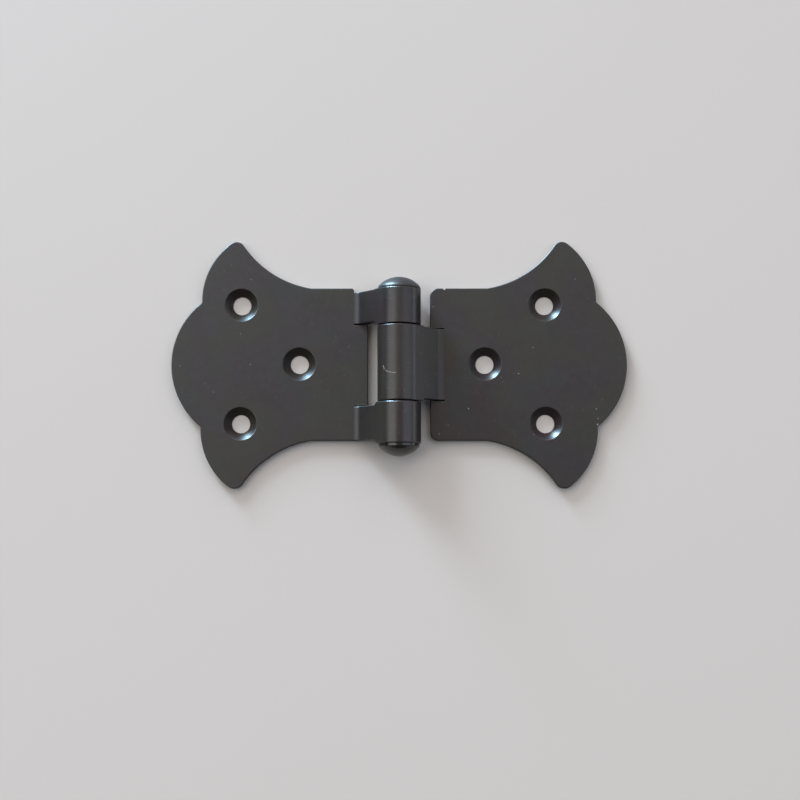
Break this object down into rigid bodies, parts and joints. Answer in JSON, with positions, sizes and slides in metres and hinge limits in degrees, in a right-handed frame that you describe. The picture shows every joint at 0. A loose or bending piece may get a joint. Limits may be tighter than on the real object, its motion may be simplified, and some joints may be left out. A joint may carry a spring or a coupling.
{
  "type": "furniture hinge",
  "caption": "Black steel butterfly hinge with shaped leaves, rolled knuckles, a domed rivet pin and countersunk screw holes.",
  "frame": {"origin": "in the plane of the leaf backs, below the middle of the pin", "axes": "+X across the leaves towards the leaf with one knuckle, +Y along the pin, +Z away from the surface the hinge is screwed to"},
  "size_m": [0.11, 0.06, 0.0106],
  "materials": {
    "leaf_black": "satin black, lightly burnished",
    "pin_black": "satin black, a little glossier than the leaves"
  },
  "bodies": {
    "frame_leaf": {"left_leaf": "leaf_black", "pin": "pin_black"},
    "door_leaf": {"right_leaf": "leaf_black"}
  },
  "joints": [
    {"name": "leaf_swing", "type": "hinge", "parent": "frame_leaf", "child": "door_leaf", "pos_m": [0, 0, 0.0054], "axis": [0, -1, 0], "range_deg": [-105, 185]}
  ]
}
